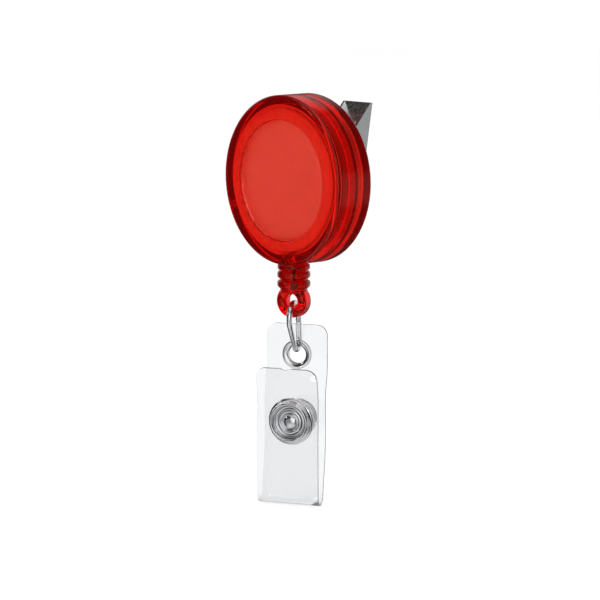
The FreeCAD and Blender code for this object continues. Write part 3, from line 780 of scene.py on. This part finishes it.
# ---- Strap ----
def across_strap(node):
    """Matrix whose Z runs forward through a turned part, in axes turned with the strap."""
    low, high = span(node, STRAP_TURN)
    middle = (low + high) / 2
    return Matrix.Translation((middle.x, 0, middle.z)) @ FORWARD


def forward_place(node):
    """Matrix whose Z runs forward through a turned part of the strap."""
    return about_cord(STRAP_TURN) @ across_strap(node)


def joint_place(joint):
    """A joint's place in axes turned with the strap."""
    return Matrix.Rotation(-STRAP_TURN, 3, "Z") @ (Vector(JOINTS[joint]["pos_m"]) - CORD_LINE)


def strap_path(look):
    """Points down the middle of the sheet: the back leaf, the fold, then up the front leaf."""
    sheet, gap = look.sheet, look.rivet_gap
    back_high = span("strap_back_leaf", STRAP_TURN)[1]
    front_low, front_high = span("strap_front_leaf", STRAP_TURN)
    swing, fold = joint_place("strap_swing"), joint_place("strap_open")
    snap_z = centre("snap_stud").z
    eyelet_z = centre("strap_eyelet").z
    back_top = -swing.y
    back_snap = -span("snap_stud", STRAP_TURN)[1].y - sheet / 2 - gap
    front_snap = -span("snap_socket", STRAP_TURN)[0].y + sheet / 2 + gap
    front_top = -front_low.y - sheet / 2
    bend_z = fold.z + sheet / 2 + look.fold_radius
    middle = -fold.y
    knots = [
        (back_top, back_high.z), (back_top, eyelet_z + 1 * MM), (back_top, eyelet_z - look.eyelet_hold),
        (back_snap, snap_z + look.hold), (back_snap, snap_z - look.hold), (middle - look.fold_radius, bend_z),
    ]
    arc_steps = 12
    for step in range(1, arc_steps):
        angle = math.pi * (1 + step / arc_steps)
        knots.append((middle + look.fold_radius * math.cos(angle), bend_z + look.fold_radius * math.sin(angle)))
    knots += [
        (middle + look.fold_radius, bend_z), (front_snap, snap_z - look.hold),
        (front_snap, snap_z + look.hold), (front_top, front_high.z),
    ]
    return [Vector((0, -n, z)) for n, z in knots]


def smooth_path(knots, step):
    """Points about one step apart on a smooth curve through the knots."""
    ends = [knots[0]] + knots + [knots[-1]]
    points = []
    for before, start, end, after in zip(ends, ends[1:], ends[2:], ends[3:]):
        reach = (end - start).length / 3
        leave = (end - before).normalized() * reach
        arrive = (after - start).normalized() * reach
        count = max(3, math.ceil((end - start).length / step) + 1)
        points += interpolate_bezier(start, start + leave, end - arrive, end, count)[:-1]
    return points + [knots[-1]]


class MakeStrap(bpy.types.Operator):
    """Model the strap as one strip of clear vinyl, bent along a path round its fold."""
    bl_idname = "badge_reel.make_strap"
    bl_label = "Make the strap"

    def execute(self, context):
        look = context.scene.reel_strap
        low, high = span("strap_back_leaf", STRAP_TURN)
        width = high.x - low.x
        knots = strap_path(look)
        points = smooth_path(knots, 0.5 * MM)
        lengths = [0.0]
        for a, b in zip(points, points[1:]):
            lengths.append(lengths[-1] + (b - a).length)
        total = lengths[-1]
        bm = bmesh.new()
        bmesh.ops.create_grid(bm, x_segments=1, y_segments=1, size=0.5)
        bmesh.ops.scale(bm, vec=(width, total, 1), verts=bm.verts)
        bmesh.ops.translate(bm, vec=(0, total / 2, 0), verts=bm.verts)
        bmesh.ops.bevel(bm, geom=list(bm.verts), offset=look.corner_radius, affect="VERTICES",
                        segments=8, profile=0.5, material=-1)
        cuts = [((0, length, 0), (0, 1, 0)) for length in lengths[1:-1]]
        cuts += [((lane * look.lane, 0, 0), (1, 0, 0)) for lane in range(-2, 3)]
        for place, normal in cuts:
            bmesh.ops.bisect_plane(bm, geom=bm.verts[:] + bm.edges[:] + bm.faces[:], dist=0.001 * MM,
                                   plane_co=place, plane_no=normal)
        for vert in bm.verts:
            vert.co = self.on_path(vert.co, points, lengths)
        vinyl = clear_vinyl()
        strap = piece_from(bm, "vinyl_strap", vinyl, None, crease=60)
        wall = strap.modifiers.new("wall", "SOLIDIFY")
        wall.thickness = look.sheet
        wall.offset = 0
        wall.use_even_offset = True
        applied(strap)
        reach = 9 * MM
        for node, radius in (("strap_eyelet", look.hole_radius), ("snap_stud", look.snap_hole_radius)):
            corners = [(0, -reach, 0), (radius, -reach, 0), (radius, reach, 0), (0, reach, 0)]
            cutter = turned_piece("hole", corners, vinyl, across_strap(node), steps=48)
            cut_away(strap, cutter)
        soften_edges(strap, look.edge_rounding, 2, 50)
        shade_smooth(strap.data)
        flat_faces_first(strap, weight=100, keep_sharp=False)
        applied(strap)
        strap.data.transform(about_cord(STRAP_TURN))
        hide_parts("strap_back_leaf", "strap_front_leaf")
        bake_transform(strap)
        return {"FINISHED"}

    @staticmethod
    def on_path(point, points, lengths):
        """Place of a point of the flat strip once it is bent along the path."""
        run = min(max(point.y, 0), lengths[-1])
        index = next((i for i, value in enumerate(lengths[1:]) if run <= value + 1e-9), len(lengths) - 2)
        share = (run - lengths[index]) / (lengths[index + 1] - lengths[index])
        place = points[index].lerp(points[index + 1], share)
        return Vector((point.x, place.y, place.z))


# ---- Eyelet and snap ----
def forward_span(node):
    """How far back and forward a node reaches, measured forward from the cord's line."""
    low, high = span(node, STRAP_TURN)
    return -high.y, -low.y


def turned_on_strap(name, node, body, nickel, corners):
    """Turn one of the strap's metal parts in its node's place."""
    piece = turned_piece(name, corners, nickel, forward_place(node))
    return keep(piece, body, "snap_nickel", node)


class MakeEyelet(bpy.types.Operator):
    """Turn the strap's eyelet, with its rolled front flange, and its washer."""
    bl_idname = "badge_reel.make_eyelet"
    bl_label = "Make the eyelet"

    def execute(self, context):
        nickel = nickel_plate("snap_nickel_plate", "#D2D3D5", 0.04, 0.12)
        back, front = forward_span("strap_eyelet")
        washer_back, washer_front = forward_span("eyelet_washer")
        look = context.scene.reel_eyelet
        hole, barrel, flange = look.hole, look.barrel, look.flange
        face = front - look.roll
        turned_on_strap("rolled_eyelet", "strap_eyelet", "strap_back", nickel, [
            (hole, back + 0.05 * MM, 0.1 * MM), (barrel + 0.2 * MM, back + 0.05 * MM, 0.12 * MM),
            (barrel + 0.25 * MM, washer_back - 0.03 * MM, 0.05 * MM), (barrel, washer_back - 0.03 * MM, 0),
            (barrel, face, 0), (flange, face, 0.1 * MM), (flange, front - 0.02 * MM, 0.14 * MM),
            (flange - 0.42 * MM, front, 0.16 * MM), (hole + 0.2 * MM, front - 0.14 * MM, 0.12 * MM),
            (hole, front - 0.3 * MM, 0.12 * MM),
        ])
        turned_on_strap("eyelet_back_washer", "eyelet_washer", "strap_back", nickel, [
            (barrel + 0.03 * MM, washer_back, 0.05 * MM), (flange, washer_back, 0.1 * MM),
            (flange, washer_front, 0.05 * MM), (barrel + 0.03 * MM, washer_front, 0.03 * MM),
        ])
        return {"FINISHED"}


class MakeSnap(bpy.types.Operator):
    """Turn the snap's front cap, socket, stud and back cap."""
    bl_idname = "badge_reel.make_snap"
    bl_label = "Make the snap"

    def execute(self, context):
        nickel = bpy.data.materials["snap_nickel_plate"]
        look = context.scene.reel_snap
        shank, rim, base, wall = look.shank, look.rim, look.base, look.rim_wall
        ring, dome = look.inner_ring, look.dome
        back, front = forward_span("snap_front_cap")
        face = front - look.rim_height
        floor = face + look.floor
        turned_on_strap("snap_cap", "snap_front_cap", "strap_front", nickel, [
            (0, back, 0), (shank, back, 0.1 * MM), (shank, face, 0), (base, face, 0.08 * MM),
            (base, face + 0.28 * MM, 0.15 * MM), (rim + 0.25 * MM, face + 0.45 * MM, 0.15 * MM),
            (rim, face + 0.75 * MM, 0.2 * MM), (rim, front - 0.4 * MM, 0.3 * MM),
            (rim - wall / 2, front, 0.3 * MM), (rim - wall, front - 0.4 * MM, 0.25 * MM),
            (rim - wall - 0.1 * MM, floor, 0.25 * MM), (ring, floor, 0.12 * MM),
            (ring - 0.2 * MM, floor + 0.55 * MM, 0.18 * MM), (ring - 0.7 * MM, floor + 0.6 * MM, 0.15 * MM),
            (dome, floor + 0.1 * MM, 0.12 * MM), (dome - 0.4 * MM, floor + 0.6 * MM, 0.3 * MM),
            (dome - 1.05 * MM, floor + 0.78 * MM, 0.2 * MM), (0, floor + 0.8 * MM, 0),
        ])
        back, front = forward_span("snap_socket")
        rim, body, bore, hole = look.socket_rim, look.socket_body, look.socket_bore, look.shank_hole
        groove = bore + look.ring_groove
        turned_on_strap("snap_socket_shell", "snap_socket", "strap_front", nickel, [
            (hole, front, 0), (rim, front, 0.12 * MM), (rim, front - 0.5 * MM, 0.2 * MM),
            (body + 0.05 * MM, front - 0.75 * MM, 0.15 * MM), (body, back, 0.3 * MM), (bore, back, 0.15 * MM),
            (bore, back + 0.8 * MM, 0.05 * MM), (groove, back + 0.8 * MM, 0),
            (groove, back + 1.52 * MM, 0), (bore, back + 1.52 * MM, 0.05 * MM),
            (bore, front - 0.8 * MM, 0.1 * MM), (hole, front - 0.8 * MM, 0.05 * MM),
        ])
        back, front = forward_span("snap_stud")
        flange, head, neck = look.stud_flange, look.stud_head, look.stud_neck
        turned_on_strap("snap_stud_button", "snap_stud", "strap_back", nickel, [
            (hole, back, 0), (flange, back, 0.1 * MM), (flange, back + 0.3 * MM, 0.15 * MM),
            (flange - 0.4 * MM, back + 0.5 * MM, 0.2 * MM), (neck + 0.1 * MM, back + 0.5 * MM, 0.2 * MM),
            (neck, front - 1.0 * MM, 0.15 * MM), (head, front - 0.7 * MM, 0.15 * MM),
            (head, front - 0.3 * MM, 0.2 * MM), (head - 0.45 * MM, front, 0.15 * MM), (0, front, 0),
            (0, front - 0.5 * MM, 0), (hole, front - 0.5 * MM, 0.05 * MM),
        ])
        back, front = forward_span("snap_back_cap")
        face = back + look.rear_height
        disc = look.rear_cap
        turned_on_strap("snap_rear_cap", "snap_back_cap", "strap_back", nickel, [
            (0, back, 0), (disc - 1.3 * MM, back + 0.03 * MM, 0.2 * MM),
            (disc - 0.4 * MM, back + 0.12 * MM, 0.2 * MM), (disc, back + 0.45 * MM, 0.2 * MM),
            (disc, face, 0.1 * MM), (shank, face, 0), (shank, front, 0.1 * MM), (0, front, 0),
        ])
        return {"FINISHED"}


# ---- Clip ----
def pressed_copy(node, name, material, rounding):
    """Copy a CAD sheet part, merge it, clear its flat faces and round its edges."""
    bm = bmesh.new()
    bm.from_mesh(frame["nodes"][node].data)
    bmesh.ops.remove_doubles(bm, verts=bm.verts, dist=0.001 * MM)
    bmesh.ops.dissolve_limit(bm, angle_limit=math.radians(1), verts=bm.verts, edges=bm.edges)
    piece = piece_from(bm, name, material, None, crease=40)
    soften_edges(piece, rounding, 3, 35).harden_normals = True
    return piece


class MakeClip(bpy.types.Operator):
    """Round the edges of the clip's pressed steel parts, and dress its pin and rivet."""
    bl_idname = "badge_reel.make_clip"
    bl_label = "Make the clip"

    def execute(self, context):
        look = context.scene.reel_clip
        plate = nickel_plate("clip_nickel_plate", "#DADBDC", 0.14, 0.3)
        jaw = pressed_copy("clip_front_jaw", "front_jaw_plate", plate, look.jaw_rounding)
        keep(jaw, "clip_base", "clip_steel", "clip_front_jaw")
        lever = pressed_copy("clip_rear_lever", "rear_lever_channel", plate, look.lever_rounding)
        keep(lever, "clip_lever", "clip_steel", "clip_rear_lever")
        dress(plate, "clip_pin", "swivel_rivet")
        self.bend_spring()
        return {"FINISHED"}

    @staticmethod
    def bend_spring():
        """Copy the torsion spring's mesh, merged, in place of its CAD node."""
        bm = bmesh.new()
        bm.from_mesh(frame["nodes"]["clip_torsion_spring"].data)
        bmesh.ops.remove_doubles(bm, verts=bm.verts, dist=0.001 * MM)
        spring = piece_from(bm, "torsion_spring", bpy.data.materials["spring_steel"], None, crease=50)
        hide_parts("clip_torsion_spring")
        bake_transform(spring)


# ---- Stage ----
# Soft bright areas that shiny surfaces see: azimuth, elevation, brightness, inner and outer half-angle.
ROOM_LIGHTS = (
    (45, 10, 1.3, 12, 36), (215, 28, 0.35, 8, 26), (132, -9, 0.38, 8, 22), (-30, 25, 3.0, 3, 10),
    (70, 24, 1.6, 4, 10), (60, 80, 0.8, 20, 50), (100, -20, 0.5, 8, 22),
    (30, -55, 0.8, 20, 50), (5, -12, 0.3, 10, 30),
    (180, 0, 0.8, 15, 42), (250, -5, 0.6, 10, 22), (-100, 5, 0.5, 12, 34),
)


# Lamps, which light matt surfaces only: name, azimuth, elevation, distance, size and their setting.
LAMPS = (
    ("key_light", -12, 14, 0.45, 0.24, "key"),
    ("side_light", 95, 12, 0.40, 0.12, "fill"),
    ("top_light", 200, 70, 0.45, 0.20, "top"),
)


def direction(azimuth, elevation):
    """Unit vector towards an azimuth and elevation in degrees, from the front and round to the right."""
    a, e = math.radians(azimuth), math.radians(elevation)
    return Vector((math.sin(a) * math.cos(e), -math.cos(a) * math.cos(e), math.sin(e)))


class MakeStage(bpy.types.Operator):
    """Lay a white floor, hang the soft lights and set the camera."""
    bl_idname = "badge_reel.make_stage"
    bl_label = "Make the stage"

    def execute(self, context):
        look = context.scene.reel_stage
        scene = context.scene
        scene.view_settings.view_transform = "Standard"
        world = bpy.data.worlds.new("studio_white")
        scene.world = world
        world.use_nodes = True
        background = world.node_tree.nodes["Background"]
        background.inputs["Color"].default_value = (1, 1, 1, 1)
        background.inputs["Strength"].default_value = 1.0
        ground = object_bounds()[0][2] - look.floor_gap
        floor_reach = 4.0
        bm = bmesh.new()
        bmesh.ops.create_grid(bm, x_segments=1, y_segments=1, size=floor_reach)
        bmesh.ops.translate(bm, vec=(0, 0, ground), verts=bm.verts)
        paper, _ = start_material("white_acrylic", {
            "Base Color": (*[look.floor_white] * 3, 1), "Roughness": 0.9,
            "Emission Color": (1, 1, 1, 1), "Emission Strength": look.floor_glow,
        })
        floor = piece_from(bm, "studio_floor", paper)
        floor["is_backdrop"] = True
        back = direction(math.degrees(look.azimuth), math.degrees(look.elevation))
        right = Vector((math.cos(look.azimuth), math.sin(look.azimuth), 0))
        up = back.cross(right)
        aim = Vector((REEL.x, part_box("front_cover")[0].y + look.aim_behind, REEL.z))
        aim += right * look.aim_right - up * look.aim_down
        camera = bpy.data.objects.new("camera", bpy.data.cameras.new("camera"))
        scene.collection.objects.link(camera)
        turn = Matrix((right, up, back)).transposed().to_4x4()
        camera.matrix_world = Matrix.Translation(aim + back * look.distance) @ turn
        camera.data.lens = look.focal
        camera.data.sensor_width = 36
        camera.data.clip_start = 0.01
        scene.camera = camera
        floor.visible_glossy = False
        self.reflected_room(look)
        for name, azimuth, elevation, distance, size, brightness in LAMPS:
            offset = direction(azimuth, elevation) * distance
            lamp = bpy.data.objects.new(name, bpy.data.lights.new(name, "AREA"))
            lamp.data.size = size
            lamp.visible_glossy = False
            lamp.data.energy = getattr(look, brightness) * math.pi * size ** 2
            facing = offset.to_track_quat("Z", "Y").to_matrix().to_4x4()
            lamp.matrix_world = Matrix.Translation(aim + offset) @ facing
            scene.collection.objects.link(lamp)
        return {"FINISHED"}

    @staticmethod
    def reflected_room(look):
        """Hang a dim room that only shiny surfaces see, with soft bright areas and dark ones."""
        room = bpy.data.materials.new("soft_room")
        room.use_nodes = True
        tree = room.node_tree
        tree.nodes.remove(tree.nodes["Principled BSDF"])
        place = add_node(room, "ShaderNodeTexCoord")
        glow = None
        for azimuth, elevation, strength, inner, outer in ROOM_LIGHTS:
            facing = add_node(room, "ShaderNodeVectorMath", {"operation": "DOT_PRODUCT"},
                              {1: direction(azimuth, elevation) / look.room_radius}, {0: (place, "Object")})
            values = {"From Min": math.cos(math.radians(outer)), "From Max": math.cos(math.radians(inner)),
                      "To Min": 0.0, "To Max": strength}
            area = add_node(room, "ShaderNodeMapRange", {"interpolation_type": "SMOOTHSTEP"}, values,
                            {"Value": (facing, "Value")})
            values, links = ({}, {1: (glow, "Value")}) if glow else ({1: look.room_grey}, {})
            links[0] = (area, "Result")
            glow = add_node(room, "ShaderNodeMath", {"operation": "ADD"}, values, links)
        emission = add_node(room, "ShaderNodeEmission", links={"Strength": (glow, "Value")})
        tree.links.new(emission.outputs["Emission"], tree.nodes["Material Output"].inputs["Surface"])
        bm = bmesh.new()
        bmesh.ops.create_icosphere(bm, subdivisions=4, radius=look.room_radius)
        dome = piece_from(bm, "soft_room", room)
        dome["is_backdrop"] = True
        for ray in ("camera", "diffuse", "transmission", "volume_scatter", "shadow"):
            setattr(dome, "visible_" + ray, False)


class BadgeReelPanel(bpy.types.Panel):
    bl_idname = "VIEW3D_PT_badge_reel"
    bl_label = "Badge reel"
    bl_space_type = "VIEW_3D"
    bl_region_type = "UI"
    bl_category = "Badge reel"

    def draw(self, context):
        for operator in OPERATORS:
            self.layout.operator(operator.bl_idname)


OPERATORS = (MakeReelCase, MakeStem, MakeLink, MakeStrap, MakeEyelet, MakeSnap, MakeClip, MakeStage)
SETTINGS = {
    "reel_case": ReelCaseSettings, "reel_stem": ReelStemSettings, "reel_link": ReelLinkSettings,
    "reel_strap": ReelStrapSettings, "reel_eyelet": ReelEyeletSettings, "reel_snap": ReelSnapSettings,
    "reel_clip": ReelClipSettings, "reel_stage": ReelStageSettings,
}
CLASSES = tuple(SETTINGS.values()) + OPERATORS + (BadgeReelPanel,)


def register():
    for cls in CLASSES:
        bpy.utils.register_class(cls)
    for name, cls in SETTINGS.items():
        setattr(bpy.types.Scene, name, PointerProperty(type=cls))


def unregister():
    for name in SETTINGS:
        delattr(bpy.types.Scene, name)
    for cls in reversed(CLASSES):
        bpy.utils.unregister_class(cls)


def main():
    register()
    for operator in OPERATORS:
        group, action = operator.bl_idname.split(".")
        getattr(getattr(bpy.ops, group), action)()


if __name__ == "__main__":
    main()
